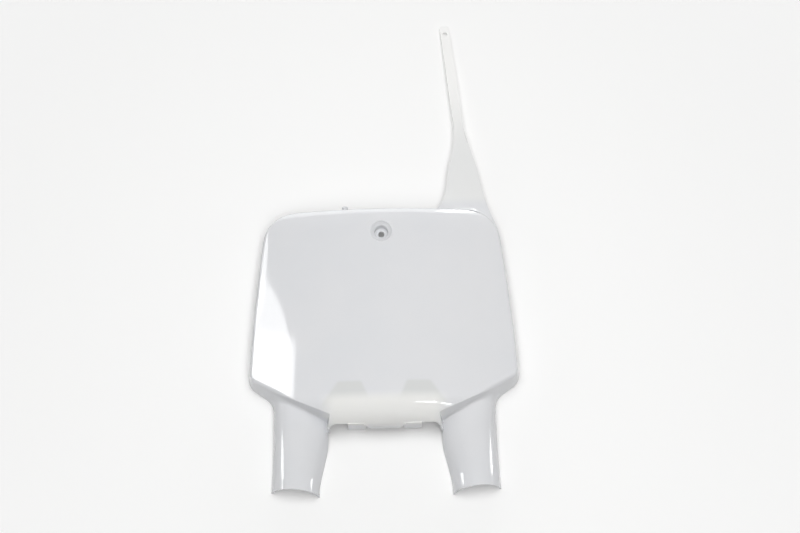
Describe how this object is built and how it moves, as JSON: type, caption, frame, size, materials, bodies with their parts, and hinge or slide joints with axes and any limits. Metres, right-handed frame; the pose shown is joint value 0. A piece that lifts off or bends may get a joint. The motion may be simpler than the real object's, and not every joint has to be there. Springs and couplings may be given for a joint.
{
  "type": "motorcycle front number board",
  "caption": "Moulded white front number board: an arched shield with a drafted skirt, half-pipe fork legs, a rolled lower lip, a sunk bolt well and an integral strap.",
  "frame": {"origin": "middle of the board's overall box in x and y, at the plane of the two fork axes, which is also the plane that the leg rims and the strap's tip rest on", "axes": "+X to the board's right, +Y along the fork tubes from the legs to the strap, +Z out of the face"},
  "size_m": [0.2852, 0.544, 0.0473],
  "materials": {
    "white_plastic": "gloss, injection moulded"
  },
  "bodies": {
    "root": {"number_board": "white_plastic"}
  },
  "joints": []
}
